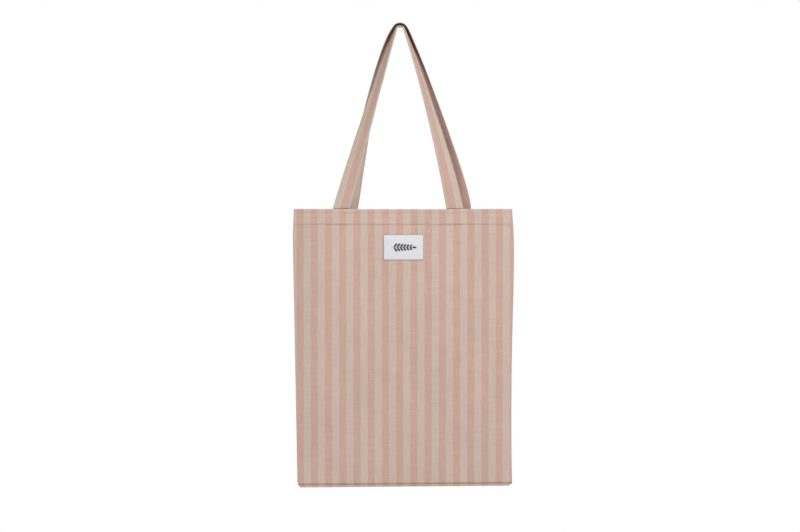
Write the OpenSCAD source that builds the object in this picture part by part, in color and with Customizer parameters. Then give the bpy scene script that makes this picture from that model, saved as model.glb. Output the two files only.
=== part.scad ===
// Striped canvas tote bag, hanging by both handles from a peg.
// Origin: the peg's axis, under the bend of the handles. +Z up, the front faces -Y.

/* [Bag] */
// Width across the side seams
bag_w = 350; // [280:5:420]
// Height from the bottom fold to the mouth
bag_h = 450; // [350:5:500]
// Sideways place of the bag's middle, measured from the peg
bag_x = 5; // [0:1:8]
// How far each panel stands out from the middle plane, beyond the seam
belly = 10; // [8:0.5:12]
// Thickness of one layer of canvas, as modelled
cloth_t = 0.8; // [0.6:0.1:0.9]
// Radius of the bottom corners
corner_r = 8; // [6:0.5:10]
// Width of the seam strip along each side
seam_w = 8; // [6:0.5:10]

/* [Hem] */
// Depth of the hem that is turned in round the mouth
hem_h = 26; // [20:1:36]
// Thickness of the turned-in cloth, two layers
hem_t = 1.2; // [1:0.1:1.4]
// Distance of the upper line of stitching below the mouth
mouth_stitch_drop = 6.5; // [3:0.5:8]

/* [Handles] */
// Width of the straps
strap_w = 27; // [22:1:32]
// Thickness of the straps, four layers of canvas
strap_t = 2.2; // [1.8:0.1:2.4]
// Distance from the peg's axis down to the mouth
handle_drop = 291; // [250:1:340]
// Distance between the two legs of one handle, at the mouth
leg_spacing = 183; // [160:1:190]
// Sideways place of the front handle's middle, at the mouth
front_handle_x = -2.7; // [-6:0.1:2]
// Sideways place of the back handle's middle, at the mouth
back_handle_x = 10; // [8:0.5:12]
// Radius of the peg that the handles hang on
peg_r = 3.8; // [3:0.1:5]
// Radius of the back handle's wider bend over the front handle, at its middle layer
back_bend_r = 18; // [16:0.5:20]
// Twist of the legs just below the peg
leg_twist = 80; // [75:1:84]

/* [Label] */
// Width of the woven label
label_w = 64; // [50:1:80]
// Height of the woven label
label_h = 40; // [30:1:50]
// Distance of the label's top edge below the mouth
label_drop = 41; // [36:1:60]
// Sideways place of the label's middle, measured from the bag's middle
label_x = 0.7; // [-2:0.1:2]

/* [Hidden] */

// Side of the middle plane that a piece is on
FRONT = -1;
BACK = 1;

mouth_z = -handle_drop;
bottom_z = mouth_z - bag_h;
panel_w = bag_w - 2 * seam_w - 1;
fold_h = 3.6;             // height of the folded strip under the panels
panel_foot = fold_h + 0.4; // the panels start this far above the bottom
seam_gap = 1.2;           // each panel's distance from the middle plane at its edges
flat_half = 115;          // the panels are flat across this half width, and curve in beyond it
layer_gap = 0.05;         // air between two layers that are sewn together
swing_gap = 0.5;          // air between the hem and a strap that swings over it
label_t = 0.6;
thread = 0.35;            // how far a thread stands proud
thread_w = 0.8;           // width of a line of stitching
panel_y = seam_gap + belly;
hem_offset = -(cloth_t + hem_t) / 2 - layer_gap;
outer_offset = (cloth_t + thread) / 2 + layer_gap;
label_offset = (cloth_t + label_t) / 2 + layer_gap;
strap_y = panel_y - cloth_t / 2 - layer_gap - hem_t - swing_gap - strap_t / 2;
back_bend_z = peg_r + strap_t + 1.3 + strap_t / 2 - back_bend_r;
bend_start = 20;          // angle above the level at which the bend over the peg starts
leg_steps = 22;
bend_steps = 12;
edge_inset = 3;           // distance of the edge stitching from a strap's edge
hem_half = panel_w / 2 - 4.5; // the hem ends short of the seams' raw edges

pink = [0.60, 0.38, 0.32];
beige = [0.57, 0.48, 0.38];
white = [0.76, 0.75, 0.76];
cream = [0.70, 0.62, 0.52];

// A list of evenly spaced values from a to b
function spread(a, b, n) = [for (i = [0 : n]) a + (b - a) * i / n];
function reversed(list) = [for (i = [len(list) - 1 : -1 : 0]) list[i]];

// How far a panel stands out from the middle plane, x from the bag's middle, h above its bottom
function across(x) =
    let (beyond = max(abs(x) - flat_half, 0) / (panel_w / 2 - flat_half)) 1 - beyond * beyond;
function upward(h) = 1 - pow(1 - h / bag_h, 3);
function depth(x, h) = seam_gap + belly * across(x) * upward(h);

// Columns of points across a panel and its hem, close together where they curve
hem_xs = concat(
    spread(-hem_half, -flat_half, 4),
    spread(-flat_half / 2, flat_half / 2, 2),
    spread(flat_half, hem_half, 4)
);
panel_xs = concat([-panel_w / 2], hem_xs, [panel_w / 2]);
panel_hs = spread(panel_foot, bag_h, 14);

// A sheet that follows a panel: offset is how far outside the panel's middle layer it lies
module sheet(side, xs, hs, offset, t) {
    nx = len(xs);
    nh = len(hs);
    size = nx * nh;
    points = [
        for (face = [-1, 1], h = hs, x = xs)
            [bag_x + x, side * (depth(x, h) + offset + face * t / 2), bottom_z + h]
    ];
    function at(face, row, col) = face * size + row * nx + col;
    faces = concat(
        [for (r = [0 : nh - 2], c = [0 : nx - 2])
            [at(0, r, c), at(0, r + 1, c), at(0, r + 1, c + 1), at(0, r, c + 1)]],
        [for (r = [0 : nh - 2], c = [0 : nx - 2])
            [at(1, r, c), at(1, r, c + 1), at(1, r + 1, c + 1), at(1, r + 1, c)]],
        [for (c = [0 : nx - 2]) [at(0, 0, c), at(0, 0, c + 1), at(1, 0, c + 1), at(1, 0, c)]],
        [for (c = [0 : nx - 2])
            [at(0, nh - 1, c), at(1, nh - 1, c), at(1, nh - 1, c + 1), at(0, nh - 1, c + 1)]],
        [for (r = [0 : nh - 2]) [at(0, r, 0), at(1, r, 0), at(1, r + 1, 0), at(0, r + 1, 0)]],
        [for (r = [0 : nh - 2])
            [at(0, r, nx - 1), at(0, r + 1, nx - 1), at(1, r + 1, nx - 1), at(1, r, nx - 1)]]
    );
    polyhedron(points, side > 0 ? faces : [for (f = faces) reversed(f)]);
}

// A line of stitching across the outside of a panel, at height h
module cross_stitching(side, h) {
    sheet(side, panel_xs, [h - thread_w / 2, h + thread_w / 2], outer_offset, thread);
}

// One leg of a handle is a cubic curve from the mouth up to the bend, seen from the front.
// It leaves the mouth and reaches the bend at the given angles from upright.
function leg_ends(left, foot_x, foot_angle, r, bend_z) =
    let (
        foot = [foot_x, mouth_z + 0.3],
        top = [left * r * cos(bend_start), bend_z + r * sin(bend_start)],
        reach = 0.38 * norm(top - foot)
    )
    [
        foot,
        foot + reach * [-left * sin(foot_angle), cos(foot_angle)],
        top + reach * [left * sin(bend_start), -cos(bend_start)],
        top
    ];
function cubic(p, u) =
    pow(1 - u, 3) * p[0] + 3 * u * pow(1 - u, 2) * p[1] + 3 * u * u * (1 - u) * p[2] + u * u * u * p[3];
function cubic_slope(p, u) =
    3 * pow(1 - u, 2) * (p[1] - p[0]) + 6 * u * (1 - u) * (p[2] - p[1]) + 3 * u * u * (p[3] - p[2]);
function twist(u) = leg_twist * (1 - pow(1 - u, 1.7)) + (90 - leg_twist) * pow(u, 10);
function leg_y(side, bow, u) =
    side * (strap_y * (cos(180 * u) + 1) / 2 + bow * pow(abs(sin(180 * u)), 1.5));

// A station is [middle point, direction of the width, direction of the outer face].
// The foot of a leg is cut level with the mouth, and so is a little longer across.
function leg_station(side, left, p, bow, u) =
    let (
        point = cubic(p, u),
        slope = cubic_slope(p, u) / norm(cubic_slope(p, u)),
        outward = [left * slope[1], -left * slope[0]],
        turn = twist(u)
    )
    [
        [point[0], leg_y(side, bow, u), point[1]],
        u == 0
            ? [-left / slope[1], 0, 0]
            : [-outward[0] * cos(turn), side * sin(turn), -outward[1] * cos(turn)],
        [outward[0] * sin(turn), side * cos(turn), outward[1] * sin(turn)]
    ];
function leg_stations(side, left, p, bow, first) =
    [for (i = [first : leg_steps]) leg_station(side, left, p, bow, i / leg_steps)];
function bend_station(side, r, bend_z, a) =
    [[r * cos(a), 0, bend_z + r * sin(a)], [0, side, 0], [cos(a), 0, sin(a)]];

// The front and back handles' legs: [left, foot x, angle at the foot, bow in Y]
front_legs = [
    [-1, front_handle_x - leg_spacing / 2, 14, 4],
    [1, front_handle_x + leg_spacing / 2, 13, 4]
];
back_legs = [
    [-1, back_handle_x - leg_spacing / 2, 5.5, 8],
    [1, back_handle_x + leg_spacing / 2, 13, 4]
];
function ends(leg, r, bend_z) = leg_ends(leg[0], leg[1], leg[2], r, bend_z);

// A band along a list of stations, from the widths ws[0] to ws[last] across the strap, and from
// low to high over its middle layer. Its wide faces are cut lengthwise at every width in ws.
module band(stations, side, ws, low, high) {
    rows = len(stations);
    n = len(ws);
    corners = concat([for (w = ws) [w, low]], [for (w = reversed(ws)) [w, high]]);
    points = [for (s = stations, c = corners) s[0] + s[1] * c[0] + s[2] * c[1]];
    // Both wide faces are cut along the same diagonal, so a twisted strap keeps its thickness
    walls = [
        for (r = [0 : rows - 2], i = [0 : 2 * n - 1])
            let (a = 2 * n * r + i, b = 2 * n * r + (i + 1) % (2 * n), up = 2 * n)
                each i < n
                    ? [[a, b, b + up], [a, b + up, a + up]]
                    : [[a, b, a + up], [b, b + up, a + up]]
    ];
    last = 2 * n * (rows - 1);
    caps = [
        for (i = [0 : n - 2])
            let (a = i, b = i + 1, c = 2 * n - 2 - i, d = 2 * n - 1 - i)
                each [[c, b, a], [d, c, a], [last + a, last + b, last + c], [last + a, last + c, last + d]]
    ];
    faces = concat(walls, caps);
    polyhedron(points, side < 0 ? faces : [for (f = faces) reversed(f)]);
}

// All stations of a handle, from its left foot over the peg to its right foot
function handle_stations(side, legs, r, bend_z, first) =
    concat(
        leg_stations(side, -1, ends(legs[0], r, bend_z), legs[0][3], first),
        [for (a = spread(180 - bend_start - 6, bend_start + 6, bend_steps))
            bend_station(side, r, bend_z, a)],
        reversed(leg_stations(side, 1, ends(legs[1], r, bend_z), legs[1][3], first))
    );

front_r = peg_r + strap_t / 2;
back_route = handle_stations(BACK, back_legs, back_bend_r, back_bend_z, 0);
// The edge stitching starts one step above the mouth
front_stitch_route = handle_stations(FRONT, front_legs, front_r, 0, 1);
back_stitch_route = handle_stations(BACK, back_legs, back_bend_r, back_bend_z, 1);

// A strap's wide faces are cut at both edges of each line of stitching, which lies flat on them
stitch_near = strap_w / 2 - edge_inset - thread_w / 2;
stitch_far = stitch_near + thread_w;
function strap_widths(w) = [-w / 2, -stitch_far, -stitch_near, stitch_near, stitch_far, w / 2];

module edge_stitching(route, side) {
    low = strap_t / 2 + layer_gap;
    for (ws = [[-stitch_far, -stitch_near], [stitch_near, stitch_far]])
        band(route, side, ws, low, low + thread);
}

// The stretch of a strap that is sewn down inside the hem
module handle_ends(side, legs) {
    for (leg = legs)
        translate([leg[1], side * strap_y, mouth_z - 0.3])
            rotate([0, -leg[0] * leg[2], 0])
                translate([-strap_w / 2, -strap_t / 2, -hem_h])
                    difference() {
                        cube([strap_w, strap_t, hem_h]);
                        translate([strap_w / 2, strap_t / 2, hem_h])
                            rotate([0, leg[0] * leg[2], 0])
                                translate([-strap_w, -strap_t, 0])
                                    cube([2 * strap_w, 2 * strap_t, strap_w]);
                    }
}

module front_panel() {
    color(pink) sheet(FRONT, panel_xs, panel_hs, 0, cloth_t);
}

module back_panel() {
    color(pink) sheet(BACK, panel_xs, panel_hs, 0, cloth_t);
}

module bottom_fold() {
    outer = seam_gap + cloth_t / 2 + 0.2;
    color(beige)
        translate([bag_x - panel_w / 2, 0, bottom_z])
            rotate([90, 0, 90])
                linear_extrude(panel_w)
                    difference() {
                        union() {
                            translate([0, outer]) circle(outer, $fn = 48);
                            translate([-outer, outer]) square([2 * outer, fold_h - outer]);
                        }
                        translate([0, outer]) circle(outer - cloth_t, $fn = 48);
                        translate([cloth_t - outer, outer]) square([2 * (outer - cloth_t), fold_h]);
                    }
}

// The seam strip along one side, with the rounded bottom corner at its foot
module side_seam(left) {
    color(beige)
        translate([bag_x, 0, 0])
            mirror([left, 0, 0])
                translate([seam_w - bag_w / 2, 1, bottom_z + corner_r])
                    rotate([90, 0, 0])
                        linear_extrude(2) {
                            translate([-seam_w, 0]) square([seam_w, bag_h - corner_r]);
                            intersection() {
                                circle(corner_r, $fn = 64);
                                translate([-seam_w, -corner_r]) square([seam_w, corner_r]);
                            }
                        }
}

// The threads that bind the seam's raw edges inside the bag
module seam_overlock(left) {
    color(cream)
        translate([bag_x, 0, 0])
            mirror([left, 0, 0])
                translate([seam_w - bag_w / 2, -0.45, bottom_z + corner_r + 4])
                    cube([4, 0.9, bag_h - corner_r - 6]);
}

module left_side_seam() {
    side_seam(0);
}

module right_side_seam() {
    side_seam(1);
}

module left_seam_overlock() {
    seam_overlock(0);
}

module right_seam_overlock() {
    seam_overlock(1);
}

module hem(side) {
    color(beige) sheet(side, hem_xs, spread(bag_h - hem_h, bag_h, 3), hem_offset, hem_t);
}

module front_hem() {
    hem(FRONT);
}

module back_hem() {
    hem(BACK);
}

module front_hem_stitching() {
    color(cream) cross_stitching(FRONT, bag_h - hem_h);
}

module back_hem_stitching() {
    color(cream) cross_stitching(BACK, bag_h - hem_h);
}

module front_mouth_stitching() {
    color(cream) cross_stitching(FRONT, bag_h - mouth_stitch_drop);
}

module back_mouth_stitching() {
    color(cream) cross_stitching(BACK, bag_h - mouth_stitch_drop);
}

module label() {
    top = bag_h - label_drop;
    color(white)
        sheet(FRONT, [label_x - label_w / 2, label_x + label_w / 2],
            spread(top - label_h, top, 2), label_offset, label_t);
}

// Four lines of thread, one along each edge of the label
module label_stitching() {
    inset = 1.5;
    top = bag_h - label_drop - inset;
    bottom = top - label_h + 2 * inset;
    half = label_w / 2 - inset;
    lift = label_offset + (label_t + thread) / 2 + layer_gap;
    color(cream) {
        for (h = [bottom, top])
            sheet(FRONT, [label_x - half, label_x + half], [h - thread_w / 2, h + thread_w / 2],
                lift, thread);
        for (x = [label_x - half, label_x + half])
            sheet(FRONT, [x - thread_w / 2, x + thread_w / 2], [bottom + thread_w, top - thread_w],
                lift, thread);
    }
}

// The bend over the peg is part of a true tube. Each leg's tip is buried in the tube's wall,
// and is a trace smaller than the wall's end.
module front_handle() {
    color(pink) {
        rotate([90, 0, 0])
            rotate([0, 0, bend_start])
                translate([0, 0, -strap_w / 2])
                    rotate_extrude(angle = 180 - 2 * bend_start, $fn = 96)
                        translate([peg_r, 0]) square([strap_t, strap_w]);
        for (leg = front_legs) {
            tip_angle = 90 - leg[0] * (85 - bend_start);
            band(
                concat(
                    leg_stations(FRONT, leg[0], ends(leg, front_r, 0), leg[3], 0),
                    [bend_station(FRONT, front_r, 0, tip_angle)]
                ),
                -FRONT * leg[0], strap_widths(strap_w - 0.3), 0.05 - strap_t / 2, strap_t / 2 - 0.05
            );
        }
    }
}

module back_handle() {
    color(pink) band(back_route, BACK, strap_widths(strap_w), -strap_t / 2, strap_t / 2);
}

module front_handle_ends() {
    color(pink) handle_ends(FRONT, front_legs);
}

module back_handle_ends() {
    color(pink) handle_ends(BACK, back_legs);
}

module front_handle_stitching() {
    color(cream) edge_stitching(front_stitch_route, FRONT);
}

module back_handle_stitching() {
    color(cream) edge_stitching(back_stitch_route, BACK);
}

front_panel();
back_panel();
bottom_fold();
left_side_seam();
right_side_seam();
left_seam_overlock();
right_seam_overlock();
front_hem();
back_hem();
front_hem_stitching();
back_hem_stitching();
front_mouth_stitching();
back_mouth_stitching();
label();
label_stitching();
front_handle();
back_handle();
front_handle_ends();
back_handle_ends();
front_handle_stitching();
back_handle_stitching();
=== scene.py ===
import math

import bpy
import numpy as np
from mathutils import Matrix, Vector, noise


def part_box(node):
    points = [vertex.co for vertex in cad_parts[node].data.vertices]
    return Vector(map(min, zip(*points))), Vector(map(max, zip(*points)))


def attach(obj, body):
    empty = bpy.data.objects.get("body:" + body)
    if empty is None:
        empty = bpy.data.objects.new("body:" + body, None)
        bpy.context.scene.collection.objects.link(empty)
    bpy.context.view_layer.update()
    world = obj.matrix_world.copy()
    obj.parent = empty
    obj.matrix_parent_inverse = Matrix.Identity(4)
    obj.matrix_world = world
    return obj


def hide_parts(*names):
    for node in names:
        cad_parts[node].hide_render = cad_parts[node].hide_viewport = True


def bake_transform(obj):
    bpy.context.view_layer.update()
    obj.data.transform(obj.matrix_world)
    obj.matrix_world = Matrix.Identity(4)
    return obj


# A striped canvas tote bag that hangs by both handles. Lengths here are in millimetres, in the
# frame of the CAD model, and become metres where a mesh, light or camera is made.

MM = 0.001
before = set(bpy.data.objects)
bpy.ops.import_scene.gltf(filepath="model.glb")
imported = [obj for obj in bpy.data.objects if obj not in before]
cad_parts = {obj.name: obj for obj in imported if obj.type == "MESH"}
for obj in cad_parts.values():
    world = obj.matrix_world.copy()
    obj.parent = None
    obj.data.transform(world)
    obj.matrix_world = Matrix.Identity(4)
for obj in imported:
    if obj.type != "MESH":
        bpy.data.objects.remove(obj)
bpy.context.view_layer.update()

FRONT = -1
BACK = 1
SIDES = {"front": FRONT, "back": BACK}


def low(node):
    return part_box(node)[0] / MM


def high(node):
    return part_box(node)[1] / MM


# ---------------------------------------------------------------- places taken from the frame
LEFT = low("left_side_seam").x
RIGHT = high("right_side_seam").x
BAG_X = (LEFT + RIGHT) / 2
HALF_W = (RIGHT - LEFT) / 2
BOTTOM = low("left_side_seam").z
MOUTH = high("left_side_seam").z
BAG_H = MOUTH - BOTTOM
HEM_H = high("front_hem").z - low("front_hem").z
MOUTH_LINE = MOUTH - (low("front_mouth_stitching").z + high("front_mouth_stitching").z) / 2
CAD_CLOTH_T = 0.8
PANEL_Y = -low("front_panel").y - CAD_CLOTH_T / 2
LABEL_X = (low("label").x + high("label").x) / 2
LABEL_Z = (low("label").z + high("label").z) / 2
LABEL_W = high("label").x - low("label").x
LABEL_H = high("label").z - low("label").z
STRAP_W = high("front_handle").y * 2

# ---------------------------------------------------------------- sizes of the cloth
CLOTH_T = 0.7
HEM_T = 1.1
LAYER_GAP = 0.05
HEM_LAYER = (CLOTH_T + HEM_T) / 2 + LAYER_GAP
SEAM_T = 1.1
SEAM_INSET = 1.4
STRAP_T = 2.2
FLAT_HALF = 115.0
EDGE_DEPTH = 1.3
MOUTH_EDGE_DEPTH = 2.7
EDGE_ROLL = 1.5
FOOT_H = 4.0
FOLD_DROP = FOOT_H - 0.35
SEAM_W = 9.0
HEM_INSET = 3.0
STRIPE_PERIOD = 23.0
PINK_CENTRE = -5.5
STITCH_PITCH = 3.1
STITCH_LENGTH = 2.5
THREAD_R = 0.28


# ---------------------------------------------------------------- shape of the handles
TAIL = 24.0
CAD_HEM_T = 1.2
SWING_GAP = 0.5
STRAP_Y = PANEL_Y - CAD_CLOTH_T / 2 - LAYER_GAP - CAD_HEM_T - SWING_GAP - STRAP_T / 2
TOP_SHIFT = 5.0
FOOT_REACH = {"front": 0.38, "back": 0.10}

# The bend of each handle over the peg: radius where it starts, radius at the top, height of the
# top's middle layer, angle above the level where it starts, tilt of the strap there, and at the top
BENDS = {
    "front": (7.3, 5.8, 5.8, 29.0, 7.0, 7.0),
    "back": (10.0, 10.0, 11.0, 37.0, 4.0, 0.0),
}
# The legs, left and right: foot x, angle at the foot, reach of the curve at the top, bow away from
# the middle plane, twist, and how early the twist comes
LEGS = {
    "front": ((-95.0, 15.5, 0.03, 6.0, 74.6, 1.93), (88.9, 10.5, 0.03, 6.0, 78.8, 2.28)),
    "back": ((-82.9, 13.7, 0.18, 10.0, 80.0, 1.7), (101.9, -8.2, 0.06, 8.0, 80.0, 1.7)),
}


# ---------------------------------------------------------------- small helpers
def smooth(t):
    t = np.clip(t, 0.0, 1.0)
    return t * t * (3 - 2 * t)


def ripple(x, y, scale, seed):
    """Smooth noise from about -1 to 1, the same on every run."""
    return noise.noise(Vector((x / scale, y / scale, seed)))


def link_object(name, mesh):
    obj = bpy.data.objects.new(name, mesh)
    bpy.context.scene.collection.objects.link(obj)
    return obj


def mesh_object(name, points, faces, material, uvs=None):
    """A smooth-shaded mesh. uvs holds one pair in metres for each point, across and along."""
    mesh = bpy.data.meshes.new(name)
    mesh.from_pydata((np.asarray(points) * MM).tolist(), [], faces)
    if uvs is not None:
        layer = mesh.uv_layers.new(name="cloth")
        corner = np.empty(len(mesh.loops), int)
        mesh.loops.foreach_get("vertex_index", corner)
        layer.data.foreach_set("uv", (np.asarray(uvs)[corner] * MM).ravel())
    mesh.shade_smooth()
    mesh.materials.append(material)
    return link_object(name, mesh)


def grid_normals(grid):
    along = np.gradient(grid, axis=0)
    across = np.gradient(grid, axis=1)
    n = np.cross(across, along)
    return n / np.maximum(np.linalg.norm(n, axis=2, keepdims=True), 1e-9)


def slab(name, grid, uvs, thickness, material, flip=False):
    """A closed sheet of cloth round the middle surface grid[row, column]."""
    rows, cols = grid.shape[:2]
    n = grid_normals(grid) * (thickness / 2)
    points = np.concatenate([(grid + n).reshape(-1, 3), (grid - n).reshape(-1, 3)])
    size = rows * cols
    faces = []
    for r in range(rows - 1):
        for c in range(cols - 1):
            a = r * cols + c
            b, d, e = a + 1, a + cols, a + cols + 1
            faces.append((a, b, e, d))
            faces.append((size + a, size + d, size + e, size + b))
    for c in range(cols - 1):
        a, d = c, (rows - 1) * cols + c
        faces.append((a, size + a, size + a + 1, a + 1))
        faces.append((d, d + 1, size + d + 1, size + d))
    for r in range(rows - 1):
        a, b = r * cols, r * cols + cols - 1
        faces.append((a, a + cols, size + a + cols, size + a))
        faces.append((b, size + b, size + b + cols, b + cols))
    if flip:
        faces = [f[::-1] for f in faces]
    return mesh_object(name, points, faces, material, np.concatenate([uvs.reshape(-1, 2)] * 2))


def loft(name, rings, uvs, material):
    """A closed tube through rings[row, corner], with flat ends."""
    rows, corners = rings.shape[:2]
    faces = []
    for r in range(rows - 1):
        for i in range(corners):
            j = (i + 1) % corners
            faces.append((r * corners + i, r * corners + j, (r + 1) * corners + j, (r + 1) * corners + i))
    faces.append(tuple(range(corners))[::-1])
    faces.append(tuple((rows - 1) * corners + i for i in range(corners)))
    return mesh_object(name, rings.reshape(-1, 3), faces, material, uvs)


# ---------------------------------------------------------------- colours and weave
PINK_WARP = (0.530, 0.285, 0.242)
BEIGE_WARP = (0.520, 0.430, 0.358)
WEFT = (0.520, 0.415, 0.346)
YARN_PITCH = 0.75
YARN_ROUNDNESS = 0.7
# Painted shade in folds: the brown-black it darkens towards, and how sharply it deepens
PAINTED_SHADE_TINT = (0.30, 0.11, 0.07)
PAINTED_SHADE_POWER = 2.6
STRAP_MIDDLE = 345.0
SEWING_COLOUR = (0.50, 0.38, 0.31)
LABEL_WHITE = (0.70, 0.70, 0.73)
LABEL_SHADOW = (0.60, 0.60, 0.63)
LABEL_THREAD_WHITE = (0.68, 0.68, 0.70)
LABEL_GREY = (0.055, 0.052, 0.055)
LABEL_RIB = 0.32
LABEL_PICK = 0.45


# ---------------------------------------------------------------- materials
def number(tree, op, a, b=0.0, clamp=False):
    node = tree.nodes.new("ShaderNodeMath")
    node.operation = op
    node.use_clamp = clamp
    for socket, value in zip(node.inputs, (a, b)):
        if isinstance(value, bpy.types.NodeSocket):
            tree.links.new(value, socket)
        else:
            socket.default_value = value
    return node.outputs[0]


def scaled(tree, value, by, plus, clamp=False):
    result = number(tree, "MULTIPLY_ADD", value, by, clamp)
    result.node.inputs[2].default_value = plus
    return result


def mixed(tree, factor, a, b, how="MIX"):
    node = tree.nodes.new("ShaderNodeMix")
    node.data_type = "RGBA"
    node.blend_type = how
    for socket, value in ((node.inputs[0], factor), (node.inputs[6], a), (node.inputs[7], b)):
        if isinstance(value, bpy.types.NodeSocket):
            tree.links.new(value, socket)
        elif socket.type == "RGBA":
            socket.default_value = (*value, 1.0)
        else:
            socket.default_value = value
    return node.outputs[2]


def cloud(tree, vector, scale, detail=2.0):
    node = tree.nodes.new("ShaderNodeTexNoise")
    node.inputs["Scale"].default_value = scale
    node.inputs["Detail"].default_value = detail
    tree.links.new(vector, node.inputs["Vector"])
    return node.outputs["Fac"]


def stretched(tree, vector, x, y, z=1.0):
    node = tree.nodes.new("ShaderNodeVectorMath")
    node.operation = "MULTIPLY"
    node.inputs[1].default_value = (x, y, z)
    tree.links.new(vector, node.inputs[0])
    return node.outputs[0]


def fabric(name, roughness, sheen):
    """A new cloth material: its tree, its shader, its UV coordinates, and u and v in millimetres."""
    material = bpy.data.materials.new(name)
    material.use_nodes = True
    tree = material.node_tree
    shader = tree.nodes["Principled BSDF"]
    shader.inputs["Roughness"].default_value = roughness
    shader.inputs["Specular IOR Level"].default_value = 0.2
    shader.inputs["Sheen Weight"].default_value = sheen
    shader.inputs["Sheen Roughness"].default_value = 0.5
    source = tree.nodes.new("ShaderNodeUVMap")
    source.uv_map = "cloth"
    split = tree.nodes.new("ShaderNodeSeparateXYZ")
    tree.links.new(source.outputs[0], split.inputs[0])
    u = number(tree, "MULTIPLY", split.outputs[0], 1 / MM)
    v = number(tree, "MULTIPLY", split.outputs[1], 1 / MM)
    return material, tree, shader, source.outputs[0], u, v


def bump(tree, shader, height, distance, strength):
    node = tree.nodes.new("ShaderNodeBump")
    node.inputs["Distance"].default_value = distance * MM
    node.inputs["Strength"].default_value = strength
    tree.links.new(height, node.inputs["Height"])
    tree.links.new(node.outputs[0], shader.inputs["Normal"])


def plain_weave(tree, u, v, pitch):
    """Where the warp lies on top, and the height of the yarns."""
    a = number(tree, "SINE", number(tree, "MULTIPLY", u, math.pi / pitch))
    b = number(tree, "SINE", number(tree, "MULTIPLY", v, math.pi / pitch))
    warp_up = scaled(tree, number(tree, "MULTIPLY", a, b), 5.0, 0.5, clamp=True)
    across = number(tree, "POWER", number(tree, "ABSOLUTE", a), YARN_ROUNDNESS)
    along = number(tree, "POWER", number(tree, "ABSOLUTE", b), YARN_ROUNDNESS)
    warp = number(tree, "MULTIPLY", warp_up, across)
    weft = number(tree, "MULTIPLY", number(tree, "SUBTRACT", 1.0, warp_up), along)
    return warp_up, number(tree, "ADD", warp, weft)


def painted_fold_shade(tree, colour, reach, shade_growth, v):
    """Painted shade: cloth is painted browner and darker deep in a fold and between straps, by ambient
    occlusion. The reach grows along a strap, up to the peg.
    """
    shade_occlusion = tree.nodes.new("ShaderNodeAmbientOcclusion")
    shade_occlusion.samples = 8
    shade_occlusion.inputs["Distance"].default_value = reach * MM
    if shade_growth > 0:
        from_foot = number(tree, "PINGPONG", v, STRAP_MIDDLE)
        tree.links.new(scaled(tree, from_foot, shade_growth * MM, reach * MM), shade_occlusion.inputs["Distance"])
    depth = number(tree, "POWER", shade_occlusion.outputs["AO"], PAINTED_SHADE_POWER)
    return mixed(tree, 1.0, colour, mixed(tree, depth, PAINTED_SHADE_TINT, (1.0, 1.0, 1.0)), "MULTIPLY")


def striped_canvas(name, pink_centre, reach, shade_growth=0.0):
    """Plain-woven cotton: the warp is dyed in stripes, and the weft is undyed."""
    material, tree, shader, uv, u, v = fabric(name, 0.92, 0.12)
    wander = number(tree, "SUBTRACT", cloud(tree, stretched(tree, uv, 60, 900), 1.0), 0.5)
    from_pink = number(tree, "SUBTRACT", u, pink_centre)
    place = number(tree, "ADD", from_pink, number(tree, "MULTIPLY", wander, 0.9))
    phase = number(tree, "PINGPONG", number(tree, "DIVIDE", place, STRIPE_PERIOD), 0.5)
    edge = number(tree, "SUBTRACT", 0.25, phase)
    pink = scaled(tree, edge, 22.0, 0.5, clamp=True)
    warp_up, height = plain_weave(tree, u, v, YARN_PITCH)
    warp_colour = mixed(tree, pink, BEIGE_WARP, PINK_WARP)
    colour = mixed(tree, scaled(tree, warp_up, 0.7, 0.25), WEFT, warp_colour)
    slub_warp = cloud(tree, stretched(tree, uv, 1300, 30), 1.0, 1.0)
    slub_weft = cloud(tree, stretched(tree, uv, 30, 1300), 1.0, 1.0)
    slub_share = number(tree, "MULTIPLY", slub_warp, 0.30)
    slub = number(tree, "ADD", slub_share, number(tree, "MULTIPLY", slub_weft, 0.30))
    patch = number(tree, "MULTIPLY", cloud(tree, stretched(tree, uv, 18, 9), 1.0, 3.0), 0.16)
    shade = number(tree, "ADD", number(tree, "ADD", slub, patch), 0.62)
    # Random slubs and patches, and painted shade: the yarns are painted darker where they dip into the
    # weave's hollows
    tone_and_hollow_shade = number(tree, "MULTIPLY", shade, scaled(tree, height, 0.22, 0.86))
    grey = tree.nodes.new("ShaderNodeCombineColor")
    for socket in grey.inputs[:3]:
        tree.links.new(tone_and_hollow_shade, socket)
    toned = mixed(tree, 1.0, colour, grey.outputs[0], "MULTIPLY")
    # Painted shade: the colour is darkened towards a brown-black deep in folds, between the straps and along
    # the hem
    tree.links.new(painted_fold_shade(tree, toned, reach, shade_growth, v), shader.inputs["Base Color"])
    relief = number(tree, "ADD", height, number(tree, "MULTIPLY", slub, 1.2))
    bump(tree, shader, relief, 0.22, 0.55)
    return material


def thread_material(name, colour):
    """Twisted thread: fine slanting ridges and a little unevenness."""
    material, tree, shader, uv, u, v = fabric(name, 0.75, 0.15)
    along = number(tree, "MULTIPLY", v, 9.0)
    twist = number(tree, "SINE", number(tree, "ADD", along, number(tree, "MULTIPLY", u, 6.0)))
    uneven = cloud(tree, stretched(tree, uv, 400, 400), 1.0)
    dark = tuple(0.78 * c for c in colour)
    tree.links.new(mixed(tree, uneven, dark, colour), shader.inputs["Base Color"])
    bump(tree, shader, twist, 0.05, 0.6)
    return material


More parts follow.
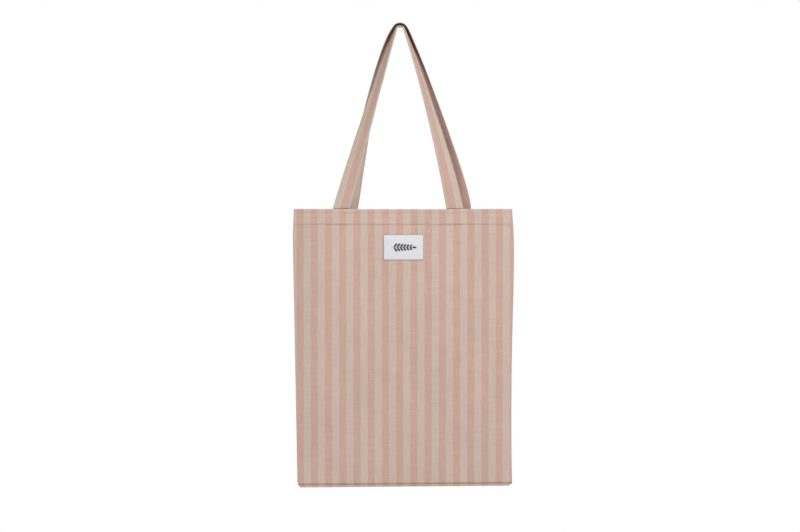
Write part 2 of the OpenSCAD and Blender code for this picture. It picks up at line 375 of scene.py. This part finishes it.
def label_cloth():
    """White woven satin with a fine rib."""
    material, tree, shader, uv, u, v = fabric("woven_label", 0.6, 0.2)
    rib = number(tree, "SINE", number(tree, "MULTIPLY", v, math.pi / LABEL_RIB))
    pick = number(tree, "SINE", number(tree, "MULTIPLY", u, math.pi / LABEL_PICK))
    ribs = number(tree, "MULTIPLY", rib, 0.7)
    weave = number(tree, "ADD", ribs, number(tree, "MULTIPLY", pick, 0.3))
    mottled = cloud(tree, stretched(tree, uv, 120, 900), 1.0)
    colour = mixed(tree, scaled(tree, weave, 0.25, 0.5), LABEL_SHADOW, LABEL_WHITE)
    uneven = mixed(tree, number(tree, "MULTIPLY", mottled, 0.4), colour, LABEL_SHADOW)
    tree.links.new(uneven, shader.inputs["Base Color"])
    bump(tree, shader, weave, 0.08, 0.5)
    return material


# The last numbers set how far the painted fold shade reaches, and for the back strap how much further it
# reaches towards the peg
CANVAS = striped_canvas("striped_canvas", PINK_CENTRE, 4.0)
STRAP_CANVAS = {
    "front": striped_canvas("strap_canvas_front", 3.6, 2.0),
    "back": striped_canvas("strap_canvas_back", -7.0, 6.5, 0.095),
}
THREAD = thread_material("sewing_thread", SEWING_COLOUR)
LABEL_THREAD = thread_material("label_thread", LABEL_THREAD_WHITE)
MOTIF_THREAD = thread_material("motif_thread", LABEL_GREY)
LABEL_CLOTH = label_cloth()


# ---------------------------------------------------------------- the shape of the panels
def side_edge(left, h):
    """How far the side edge is from the bag's middle line at height h above the bottom."""
    t = h / BAG_H
    taken_in = float(smooth((t - 0.89) / 0.11))
    if left < 0:
        swell = 8.7 * (min(t, 0.9) - 0.486) - 1.6 * taken_in
    else:
        swell = 0.2 + 4.3 * math.exp(-(((t - 0.84) / 0.30) ** 2)) - 1.8 * taken_in + 1.6 * (1 - t) ** 12
    r = 8.0 if left < 0 else 5.0
    corner = r - math.sqrt(max(0.0, r * r - (r - h) ** 2)) if h < r else 0.0
    return HALF_W + swell - corner


def half_width(x, h):
    return side_edge(-1 if x < 0 else 1, h)


def hem_share(h):
    return float(smooth((h - (BAG_H - HEM_H)) / 3.0))


def edge_depth(h):
    return EDGE_DEPTH + (MOUTH_EDGE_DEPTH - EDGE_DEPTH) * float(smooth((h - (BAG_H - HEM_H - 6)) / 8.0))


def dent(h, line, width, deep):
    return -deep * math.exp(-(((h - line) / width) ** 2))


def over_strap_end(side, x, h):
    """Where a strap's end is sewn in behind the cloth: 1 over it and 0 elsewhere."""
    legs = LEGS["front" if side == FRONT else "back"]
    high_enough = float(smooth((h - (BAG_H - TAIL - 2)) / 3.0)) * float(smooth((BAG_H - 1 - h) / 3.0))
    near = min(abs(BAG_X + x - leg[0]) for leg in legs)
    return high_enough * float(smooth((STRAP_W / 2 + 1.5 - near) / 2.0))


def panel_depth(side, x, h, half):
    """How far the panel's middle layer stands out from the middle plane."""
    reach = half - EDGE_ROLL
    beyond = min(1.0, max(abs(x) - FLAT_HALF, 0.0) / (reach - FLAT_HALF))
    across = 1 - beyond * beyond
    upward = 1 - (1 - h / BAG_H) ** 3
    edge = edge_depth(h)
    full = edge + (PANEL_Y - edge) * across * upward
    loose = across * min(1.0, 4 * upward)
    full += loose * 1.5 * ripple(x, h * 0.45, 70, 3.7 * side)
    full += loose * 0.6 * ripple(x, h * 0.7, 32, 9.1 * side)
    # Stitching pulls the cloth in, and the hem's thickness holds it out above
    full += 0.35 * hem_share(h) * across
    full += dent(h, BAG_H - HEM_H, 1.3, 0.45) + dent(h, BAG_H - MOUTH_LINE, 1.0, 0.1)
    full += 0.45 * over_strap_end(side, x, h)
    near_line = math.exp(-abs(h - (BAG_H - HEM_H)) / 7.0) + math.exp(-(BAG_H - h) / 6.0)
    full += 0.22 * near_line * ripple(x, h * 0.2, 9, 5.3 * side)
    near_edge = math.exp(-(half - abs(x)) / 9.0)
    full += 0.35 * near_edge * ripple(h, x, 14, 7.7 * side) * min(1.0, (half - abs(x)) / 2.0)
    return full


def panel_columns(h):
    """Places across a panel, close together where it rolls over at the sides."""
    columns = []
    for left in (-1, 1):
        half = side_edge(left, h)
        roll = [half - EDGE_ROLL * (1 - math.sin(math.radians(a))) for a in (90, 75, 58, 38, 15, 0)]
        positive = roll + np.linspace(half - EDGE_ROLL - 2.0, 0, 58).tolist()
        columns.append([left * x for x in positive])
    return columns[0] + columns[1][-2::-1]


def panel_rows():
    plain = np.arange(FOOT_H, BAG_H - HEM_H - 6, 4.0)
    fine = np.arange(plain[-1] + 1.0, BAG_H - 1.0, 0.9)
    return plain.tolist() + fine.tolist()


def bow(x, h):
    """The bottom edge rises towards one side, and the mouth sags between the side seams."""
    s = x / HALF_W
    t = h / BAG_H
    up = (1.3 + 1.5 * s) * (1 - t) ** 3
    lift = (2.4 - 0.9 * math.cos(min(abs(s), 1.0) * math.pi / 2) ** 0.7) * t**6
    return up + lift


def cloth_point(side, x, h):
    """A point on the middle layer of a panel, in the frame."""
    half = half_width(x, h)
    inside = min(abs(x), half - EDGE_ROLL)
    depth = panel_depth(side, math.copysign(inside, x), h, half)
    rolled = max(0.0, abs(x) - (half - EDGE_ROLL)) / EDGE_ROLL
    depth *= math.sqrt(max(0.0, 1 - rolled * rolled))
    return (BAG_X + x, side * depth, BOTTOM + h + bow(x, h))


def panel_grid(side, heights):
    columns = [panel_columns(h) for h in heights]
    grid = [[cloth_point(side, x, h) for x in xs] for h, xs in zip(heights, columns)]
    uvs = [[(x, h) for x in xs] for h, xs in zip(heights, columns)]
    return np.array(grid), np.array(uvs)


def turn_over(side, grid, uvs):
    """Rows that carry the top of a panel over the mouth to the inside, in a half circle."""
    top, top_uv = grid[-1], uvs[-1]
    r = HEM_LAYER / 2
    rows, rows_uv = [], []
    for angle in (25, 50, 75, 100, 125, 150, 175):
        a = math.radians(angle)
        step = np.array([0.0, -side * r * (1 - math.cos(a)), r * math.sin(a)])
        squeeze = np.minimum(1.0, np.abs(top[:, 1:2]) / (2.2 * r))
        rows.append(top + step * np.concatenate([squeeze, squeeze, np.ones_like(squeeze)], axis=1))
        rows_uv.append(top_uv + np.array([0.0, r * a]))
    return np.concatenate([grid, rows]), np.concatenate([uvs, rows_uv])


def follow_mouth(obj):
    """Bakes the cloth's placement into its mesh."""
    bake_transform(obj)


def make_panel(name):
    side = SIDES[name]
    grid, uvs = turn_over(side, *panel_grid(side, panel_rows()))
    obj = slab(f"{name}_cloth", grid, uvs, CLOTH_T, CANVAS, flip=side > 0)
    follow_mouth(obj)
    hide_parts(f"{name}_panel")
    return obj


def make_hem(name):
    """The turned-in band, from the mouth down to its own folded edge."""
    side = SIDES[name]
    rows, rows_uv = [], []
    for h in np.linspace(BAG_H - 1.4, BAG_H - HEM_H - 1.5, 24):
        xs = np.linspace(HEM_INSET - side_edge(-1, h), side_edge(1, h) - HEM_INSET, 111)
        row = []
        for x in xs:
            px, py, pz = cloth_point(side, x, h)
            row.append((px, py - side * HEM_LAYER, pz))
        rows.append(row)
        rows_uv.append([(x, 2 * BAG_H - h) for x in xs])
    obj = slab(f"{name}_hem_band", np.array(rows), np.array(rows_uv), HEM_T, CANVAS, flip=side < 0)
    follow_mouth(obj)
    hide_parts(f"{name}_hem")
    return obj


def make_fold():
    """The strip of cloth round the bottom edge, from the foot of one panel to the foot of the other."""
    foot = {name: panel_grid(side, [FOOT_H])[0][0] for name, side in SIDES.items()}
    xs = panel_columns(FOOT_H)
    rows, rows_uv = [], []
    for angle in np.linspace(0, 180, 19):
        a = math.radians(angle)
        near = foot["front"] if angle <= 90 else foot["back"]
        row = []
        for (_, py, pz), x in zip(near, xs):
            pull = 1 - 0.030 * math.sin(a) * abs(x / HALF_W) ** 12
            row.append((BAG_X + x * pull, py * abs(math.cos(a)), pz - FOLD_DROP * math.sin(a)))
        rows.append(row)
        rows_uv.append([(x, FOOT_H - 5.5 * angle / 90) for x in xs])
    obj = slab("bottom_fold_cloth", np.array(rows), np.array(rows_uv), CLOTH_T, CANVAS, flip=True)
    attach(obj, "bag")
    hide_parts("bottom_fold")
    return obj


# ---------------------------------------------------------------- stitching
def stitch_faces(base, rings, corners):
    faces = []
    for r in range(rings - 1):
        for i in range(corners):
            j = (i + 1) % corners
            a = base + r * corners
            faces.append((a + i, a + j, a + corners + j, a + corners + i))
    faces.append(tuple(base + i for i in range(corners))[::-1])
    faces.append(tuple(base + (rings - 1) * corners + i for i in range(corners)))
    return faces


STITCH_PROFILE = ((-1.0, 0.35), (-0.72, 0.85), (0.0, 1.0), (0.72, 0.85), (1.0, 0.35))
STITCH_CORNERS = 6


def stitches(name, places, material, length=STITCH_LENGTH, radius=THREAD_R):
    """Separate stitches. Each place is (middle, direction along the seam, outward direction)."""
    points, faces, uvs = [], [], []
    for middle, along, outward in places:
        along = along / np.linalg.norm(along)
        outward = outward / np.linalg.norm(outward)
        across = np.cross(along, outward)
        base = len(points)
        for t, swell in STITCH_PROFILE:
            centre = middle + along * (t * length / 2) - outward * (radius * 0.9 * t * t)
            for i in range(STITCH_CORNERS):
                a = 2 * math.pi * i / STITCH_CORNERS
                spoke = across * math.cos(a) * 1.15 + outward * math.sin(a)
                points.append(centre + spoke * (radius * swell))
                uvs.append((radius * a, t * length / 2 + base * 0.01))
        faces += stitch_faces(base, len(STITCH_PROFILE), STITCH_CORNERS)
    obj = mesh_object(name, points, faces, material, uvs)
    return obj


def line_places(side, h, outside):
    """Places for a line of stitching across a panel, on its outside or on the hem inside."""
    first = HEM_INSET - side_edge(-1, h)
    count = int((side_edge(1, h) - HEM_INSET - first) / STITCH_PITCH)
    lift = side * (CLOTH_T / 2 if outside else -(HEM_LAYER + HEM_T / 2))
    places = []
    for i in range(count):
        x = first + (i + (0.5 if outside else 1.0)) * STITCH_PITCH
        here = np.array(cloth_point(side, x, h))
        there = np.array(cloth_point(side, x + 1.0, h))
        outward = np.array([0.0, side if outside else -side, 0.0])
        places.append((here + np.array([0.0, lift, 0.0]), there - here, outward))
    return places


def make_cross_stitching(name, line, drop):
    side = SIDES[name]
    places = line_places(side, BAG_H - drop, True)
    outer = stitches(f"{name}_{line}_stitches", places, THREAD)
    follow_mouth(outer)
    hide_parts(f"{name}_{line}_stitching")
    places = line_places(side, BAG_H - drop, False)
    inner = stitches(f"{name}_{line}_stitches_inside", places, THREAD)
    follow_mouth(inner)
    return outer, inner


# ---------------------------------------------------------------- side seams
def make_side_seam(name, left):
    """The two seam allowances inside, pressed flat together along one side."""
    shares = np.linspace(0, 1, 7)
    rows, rows_uv = [], []
    for h in np.arange(9.0, BAG_H - 2.0, 4.0):
        outer = side_edge(left, h) - SEAM_INSET
        row = []
        for s in shares:
            x = left * (outer - s * SEAM_W)
            wave = 0.12 * ripple(h, s * 20, 11, 2.2 * left)
            row.append((BAG_X + x, wave, BOTTOM + h + bow(x, h)))
        rows.append(row)
        rows_uv.append([(left * (outer + s * SEAM_W), h) for s in shares])
    obj = slab(f"{name}_seam_allowance", np.array(rows), np.array(rows_uv), SEAM_T, CANVAS, flip=left < 0)
    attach(obj, "bag")
    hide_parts(f"{name}_side_seam")
    return obj


def thread_tube(name, path, radius, material, corners=5):
    path = np.asarray(path, float)
    along = np.gradient(path, axis=0)
    along /= np.maximum(np.linalg.norm(along, axis=1, keepdims=True), 1e-9)
    helper = np.array([0.13, 0.21, 0.97])
    a = np.cross(along, helper)
    a /= np.linalg.norm(a, axis=1, keepdims=True)
    b = np.cross(along, a)
    turns = np.linspace(0, 2 * math.pi, corners, endpoint=False)
    rings = path[:, None] + radius * (
        a[:, None] * np.cos(turns)[None, :, None] + b[:, None] * np.sin(turns)[None, :, None]
    )
    length = np.concatenate([[0], np.cumsum(np.linalg.norm(np.diff(path, axis=0), axis=1))])
    uvs = np.array([[(radius * t, l) for t in turns] for l in length]).reshape(-1, 2)
    return loft(name, rings, uvs, material)


OVERLOCK_PITCH = 2.6
OVERLOCK_R = 0.2
# Each loop over the raw edge: how far from the edge, side to side, and share of the loop's rise
OVERLOCK_LOOP = (
    (3.6, 0.72, 0.0),
    (0.2, 0.72, 0.3),
    (-0.35, 0.0, 0.5),
    (0.2, -0.72, 0.7),
    (3.6, -0.72, 1.0),
)


def make_overlock(name, left):
    """Thread looped over the raw edge of a seam allowance."""
    path = []
    for h in np.arange(12.0, BAG_H - 3.0, OVERLOCK_PITCH):
        inner = side_edge(left, h) - SEAM_INSET - SEAM_W
        for out, y, rise in OVERLOCK_LOOP:
            x = left * (inner + out)
            path.append((BAG_X + x, y, BOTTOM + h + rise * OVERLOCK_PITCH / 2 + bow(x, h)))
    obj = thread_tube(f"{name}_overlock_thread", path, OVERLOCK_R, THREAD)
    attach(obj, "bag")
    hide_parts(f"{name}_seam_overlock")
    return obj


# ---------------------------------------------------------------- handles
def leg_curve(name, left, leg):
    """The four points of the curve that a leg's middle follows, seen from the front."""
    foot_x, foot_angle, top_reach = leg[:3]
    r, r_top, top_z, start, _, _ = BENDS[name]
    steep = math.radians(start)
    foot = np.array([foot_x, MOUTH + 0.3])
    top = np.array([left * r * math.cos(steep), top_z - r_top + r * math.sin(steep)])
    chord = np.linalg.norm(top - foot)
    lean = math.radians(foot_angle)
    after = foot + FOOT_REACH[name] * chord * np.array([-left * math.sin(lean), math.cos(lean)])
    before = top + top_reach * chord * np.array([left * math.sin(steep), -math.cos(steep)])
    return foot, after, before, top


def on_curve(curve, u):
    """A point on the curve, and its direction there."""
    p0, p1, p2, p3 = curve
    k = 1 - u
    point = k**3 * p0 + 3 * u * k * k * p1 + 3 * u * u * k * p2 + u**3 * p3
    slope = 3 * k * k * (p1 - p0) + 6 * u * k * (p2 - p1) + 3 * u * u * (p3 - p2)
    return point, slope / np.linalg.norm(slope)


def leg_stations(name, left, leg, us):
    """Stations up one leg: middle, direction of the inner edge, direction of the outer face."""
    side = SIDES[name]
    bow_out, twist, early = leg[3:]
    end_twist = 90.0 - BENDS[name][4]
    curve = leg_curve(name, left, leg)
    sideways = np.array([0.0, side, 0.0])
    stations = []
    for u in us:
        point, slope = on_curve(curve, u)
        outward = np.array([left * slope[1], 0.0, -left * slope[0]])
        turn = math.radians(twist * (1 - (1 - u) ** early) + (end_twist - twist) * u**12)
        rise = (1 - math.cos(math.pi * u)) / 2
        y = side * (STRAP_Y * (1 - rise) + bow_out * abs(math.sin(math.pi * u)) ** 1.5 + TOP_SHIFT * rise)
        middle = np.array([point[0], y, point[1]])
        width = -outward * math.cos(turn) + sideways * math.sin(turn)
        face = outward * math.sin(turn) + sideways * math.cos(turn)
        stations.append((middle, width, face))
    return stations


def tail_stations(name, left, leg):
    """The end of a strap that is sewn down inside the hem."""
    side = SIDES[name]
    foot, slope = on_curve(leg_curve(name, left, leg), 0.0)
    outward = np.array([left * slope[1], 0.0, -left * slope[0]])
    stations = []
    for down in np.linspace(TAIL, 2.0, 9):
        place = foot - slope * down
        middle = np.array([place[0], side * STRAP_Y, place[1]])
        stations.append((middle, -outward, np.array([0.0, side, 0.0])))
    return stations


def bend_stations(name):
    """Stations over the peg, from left to right."""
    side = SIDES[name]
    r, r_top, top_z, start, tilt, top_tilt = BENDS[name]
    steep = math.radians(start)
    stations = []
    for angle in np.linspace(math.pi - steep, steep, 34)[1:-1]:
        share = float(smooth((math.sin(angle) - math.sin(steep)) / (1 - math.sin(steep))))
        lean = math.radians(tilt + (top_tilt - tilt) * share)
        out = np.array([math.cos(angle), 0.0, math.sin(angle)])
        middle = np.array([0.0, side * TOP_SHIFT, top_z - r_top]) + (r + (r_top - r) * share) * out
        sideways = np.array([0.0, side, 0.0])
        width = sideways * math.cos(lean) - out * math.sin(lean)
        face = out * math.cos(lean) + sideways * math.sin(lean)
        stations.append((middle, width, face))
    return stations


def handle_stations(name):
    us = np.concatenate([np.linspace(0, 0.08, 12)[:-1], np.linspace(0.08, 1, 90)])
    halves = [
        tail_stations(name, left, leg) + leg_stations(name, left, leg, us)
        for left, leg in zip((-1, 1), LEGS[name])
    ]
    return halves[0] + bend_stations(name) + halves[1][::-1]


STITCH_INSET = 3.0


def strap_half_thickness(w):
    """Half the strap's thickness at w across it: rounded edges, and a groove at each line of stitching."""
    share = min(1.0, abs(w) / (STRAP_W / 2))
    rounded = math.sqrt(max(0.0, 1 - share**14))
    groove = 0.22 * math.exp(-(((abs(w) - (STRAP_W / 2 - STITCH_INSET)) / 0.8) ** 2))
    return STRAP_T / 2 * rounded - groove * rounded


def lengths(stations):
    middles = np.array([s[0] for s in stations])
    return np.concatenate([[0], np.cumsum(np.linalg.norm(np.diff(middles, axis=0), axis=1))])


def strap_ripple(w, along, name):
    """Small unevenness of a sewn strap: a soft pucker between the stitches."""
    seed = 4.4 if name == "front" else 8.8
    return 0.16 * ripple(along, w * 0.8, 11, seed) + 0.25 * ripple(along, w * 0.3, 45, seed + 1)


def strap_widths():
    """Places across a strap, close together at its rounded edges."""
    near_edge = np.linspace(0.9, 1, 6)[1:]
    return np.concatenate([-near_edge[::-1], np.linspace(-0.9, 0.9, 25), near_edge]) * STRAP_W / 2


def strap_point(station, w, along, name, face_side):
    """A point on a strap's outer face (1) or inner face (-1), at w across it."""
    middle, width, face = station
    lift = face_side * strap_half_thickness(w) + strap_ripple(w, along, name)
    return middle + width * w + face * lift


def make_handle(name):
    side = SIDES[name]
    stations = handle_stations(name)
    along = lengths(stations)
    ws = strap_widths()
    back_ws = ws[-2:0:-1]
    rings, uvs = [], []
    for station, l in zip(stations, along):
        top = [strap_point(station, w, l, name, 1) for w in ws]
        under = [strap_point(station, w, l, name, -1) for w in back_ws]
        rings.append(top + under)
        uvs += [(w, l) for w in (*ws, *back_ws)]
    rings = np.array(rings)
    if side > 0:
        rings = rings[:, ::-1]
        uvs = np.array(uvs).reshape(len(stations), -1, 2)[:, ::-1].reshape(-1, 2)
    obj = loft(f"{name}_strap", rings, np.array(uvs), STRAP_CANVAS[name])
    bend_at_mouth(obj)
    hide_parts(f"{name}_handle", f"{name}_handle_ends")
    return obj


def bend_at_mouth(obj):
    """Bakes the strap's placement into its mesh."""
    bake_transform(obj)


def make_handle_stitching(name):
    stations = handle_stations(name)
    along = lengths(stations)
    places = []
    for face_side in (1, -1):
        for edge in (-1, 1):
            w = edge * (STRAP_W / 2 - STITCH_INSET)
            for l in np.arange(TAIL + 8, along[-1] - TAIL - 8, STITCH_PITCH):
                i = int(np.searchsorted(along, l))
                t = (l - along[i - 1]) / (along[i] - along[i - 1])
                middle, width, face = (
                    stations[i - 1][k] * (1 - t) + stations[i][k] * t for k in range(3)
                )
                here = middle + width * w
                lift = face_side * strap_half_thickness(w) + strap_ripple(w, l, name)
                before = stations[i - 1][0] + stations[i - 1][1] * w
                after = stations[i][0] + stations[i][1] * w
                places.append((here + face * lift, after - before, face * face_side))
    obj = stitches(f"{name}_strap_stitches", places, THREAD)
    bend_at_mouth(obj)
    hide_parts(f"{name}_handle_stitching")
    return obj


# ---------------------------------------------------------------- label
LABEL_T = 0.4
LABEL_GAP = 0.12
LABEL_STITCH_INSET = 1.5
LABEL_STITCH_PITCH = 2.2


def on_front(u, v, lift):
    """A point over the front panel, at u and v from the label's middle."""
    z = LABEL_Z + v
    px, py, _ = cloth_point(FRONT, LABEL_X + u - BAG_X, z - BOTTOM)
    return np.array([px, py - CLOTH_T / 2 - lift, z])


def make_label():
    us = np.linspace(-LABEL_W / 2, LABEL_W / 2, 49)
    vs = np.linspace(-LABEL_H / 2, LABEL_H / 2, 33)
    grid, uvs = [], []
    for v in vs:
        row = []
        for u in us:
            edge = min(LABEL_W / 2 - abs(u), LABEL_H / 2 - abs(v))
            puff = 0.25 * float(smooth((edge - 1.5) / 6.0))
            row.append(on_front(u, v, LABEL_GAP + LABEL_T / 2 + puff))
        grid.append(row)
        uvs.append([(u, v) for u in us])
    obj = slab("label_cloth", np.array(grid), np.array(uvs), LABEL_T, LABEL_CLOTH)
    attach(obj, "front")
    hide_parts("label")
    return obj


def make_label_stitching():
    half_u, half_v = LABEL_W / 2 - LABEL_STITCH_INSET, LABEL_H / 2 - LABEL_STITCH_INSET
    pitch = LABEL_STITCH_PITCH
    lift = LABEL_GAP + LABEL_T
    outward = np.array([0.0, -1.0, 0.0])
    places = []
    for v in (-half_v, half_v):
        for u in np.arange(-half_u + pitch / 2, half_u, pitch):
            places.append((on_front(u, v, lift), np.array([1.0, 0.0, 0.0]), outward))
    for u in (-half_u, half_u):
        for v in np.arange(-half_v + pitch / 2, half_v, pitch):
            places.append((on_front(u, v, lift), np.array([0.0, 0.0, 1.0]), outward))
    obj = stitches("label_stitches", places, LABEL_THREAD, length=1.7, radius=0.16)
    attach(obj, "front")
    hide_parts("label_stitching")
    return obj


def leaf(points, faces, uvs, root, angle, length, width):
    """One satin-stitched leaf of the label's motif, a low dome."""
    base = len(points)
    along = np.array([math.cos(angle), math.sin(angle)])
    across = np.array([-along[1], along[0]])
    rows, cols = 9, 5
    for i in range(rows):
        t = i / (rows - 1)
        half = width / 2 * math.sin(math.pi * t) ** 0.8 + 0.02
        for j in range(cols):
            s = 2 * j / (cols - 1) - 1
            u, v = root + along * (t * length) + across * (s * half)
            points.append(on_front(u, v, LABEL_T + 0.36 + 0.22 * (1 - s * s)))
            uvs.append((u, v))
    for i in range(rows - 1):
        for j in range(cols - 1):
            a = base + i * cols + j
            faces.append((a, a + cols, a + cols + 1, a + 1))


def make_motif():
    """A plain sprig of leaves in place of any name or mark."""
    points, faces, uvs = [], [], []
    leaf(points, faces, uvs, np.array([-20.0, 0.0]), 0.0, 34.0, 0.9)
    for i in range(6):
        x = -16.0 + 5.2 * i
        size = 9.5 - 0.7 * i
        for turn in (0.85, -0.85):
            leaf(points, faces, uvs, np.array([x, 0.0]), turn, size, 3.4)
    leaf(points, faces, uvs, np.array([13.0, 0.0]), 0.0, 8.5, 3.4)
    obj = mesh_object("label_motif", points, faces, MOTIF_THREAD, uvs)
    thick = obj.modifiers.new("thread", "SOLIDIFY")
    thick.thickness = 0.25 * MM
    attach(obj, "front")
    return obj


# ---------------------------------------------------------------- camera, floor and light
VIEW_Z = -382.0
CAMERA_DISTANCE = 2350.0
VIEW_WIDTH = 1297.6
SENSOR_WIDTH = 36.0
SURROUND = 0.37
# Place, target and size in metres, and power in watts
KEY = ((1.2, -1.75, 1.8), (0, 0, -0.12), 1.3, 71)
FILL = ((-1.6, -2.2, 1.1), (0, 0, -0.10), 1.8, 29)


def make_camera():
    camera = bpy.data.objects.new("camera", bpy.data.cameras.new("camera"))
    bpy.context.scene.collection.objects.link(camera)
    camera.location = Vector((0.0, -CAMERA_DISTANCE, VIEW_Z)) * MM
    camera.rotation_euler = (math.pi / 2, 0.0, 0.0)
    camera.data.sensor_width = SENSOR_WIDTH
    camera.data.lens = SENSOR_WIDTH * CAMERA_DISTANCE / VIEW_WIDTH
    camera.data.clip_end = 100.0
    bpy.context.scene.camera = camera


def make_floor():
    """A pale floor well under the bag. It ends behind it, below the camera's view."""
    mesh = bpy.data.meshes.new("floor")
    half, near, far, z = 2.4, -2.2, 1.7, -1.15
    mesh.from_pydata([(-half, near, z), (half, near, z), (half, far, z), (-half, far, z)], [], [(0, 1, 2, 3)])
    floor = link_object("floor", mesh)
    material = bpy.data.materials.new("pale_floor")
    material.use_nodes = True
    shader = material.node_tree.nodes["Principled BSDF"]
    shader.inputs["Base Color"].default_value = (0.80, 0.80, 0.80, 1)
    shader.inputs["Roughness"].default_value = 0.9
    mesh.materials.append(material)


def area_light(name, place, target, size, power):
    light = bpy.data.lights.new(name, "AREA")
    light.size = size
    light.energy = power
    obj = bpy.data.objects.new(name, light)
    obj.location = place
    obj.rotation_euler = (Vector(target) - Vector(place)).to_track_quat("-Z", "Y").to_euler()
    bpy.context.scene.collection.objects.link(obj)


def make_light():
    """A bright surround that is white to the camera, two large soft lamps, and light from above."""
    world = bpy.data.worlds.new("studio")
    world.use_nodes = True
    bpy.context.scene.world = world
    tree = world.node_tree
    soft = tree.nodes["Background"]
    soft.inputs["Color"].default_value = (1, 1, 1, 1)
    soft.inputs["Strength"].default_value = SURROUND
    white = tree.nodes.new("ShaderNodeBackground")
    white.inputs["Color"].default_value = (1, 1, 1, 1)
    seen = tree.nodes.new("ShaderNodeLightPath")
    mix = tree.nodes.new("ShaderNodeMixShader")
    tree.links.new(seen.outputs["Is Camera Ray"], mix.inputs[0])
    tree.links.new(soft.outputs[0], mix.inputs[1])
    tree.links.new(white.outputs[0], mix.inputs[2])
    tree.links.new(mix.outputs[0], tree.nodes["World Output"].inputs[0])
    area_light("key", *KEY)
    area_light("fill", *FILL)
    make_overhead()
    bpy.context.scene.view_settings.view_transform = "Standard"


def make_overhead():
    overhead = bpy.data.lights.new("overhead", "SUN")
    overhead.energy = 0.5
    overhead.angle = math.radians(50)
    lamp = bpy.data.objects.new("overhead", overhead)
    lamp.rotation_euler = (math.radians(-12), 0.0, 0.0)
    bpy.context.scene.collection.objects.link(lamp)


# ---------------------------------------------------------------- build
make_camera()
make_floor()
make_light()
for panel in SIDES:
    make_panel(panel)
    make_hem(panel)
    make_cross_stitching(panel, "hem", HEM_H)
    make_cross_stitching(panel, "mouth", MOUTH_LINE)
    make_handle(panel)
    make_handle_stitching(panel)
make_fold()
make_side_seam("left", -1)
make_side_seam("right", 1)
make_overlock("left", -1)
make_overlock("right", 1)
make_label()
make_label_stitching()
make_motif()
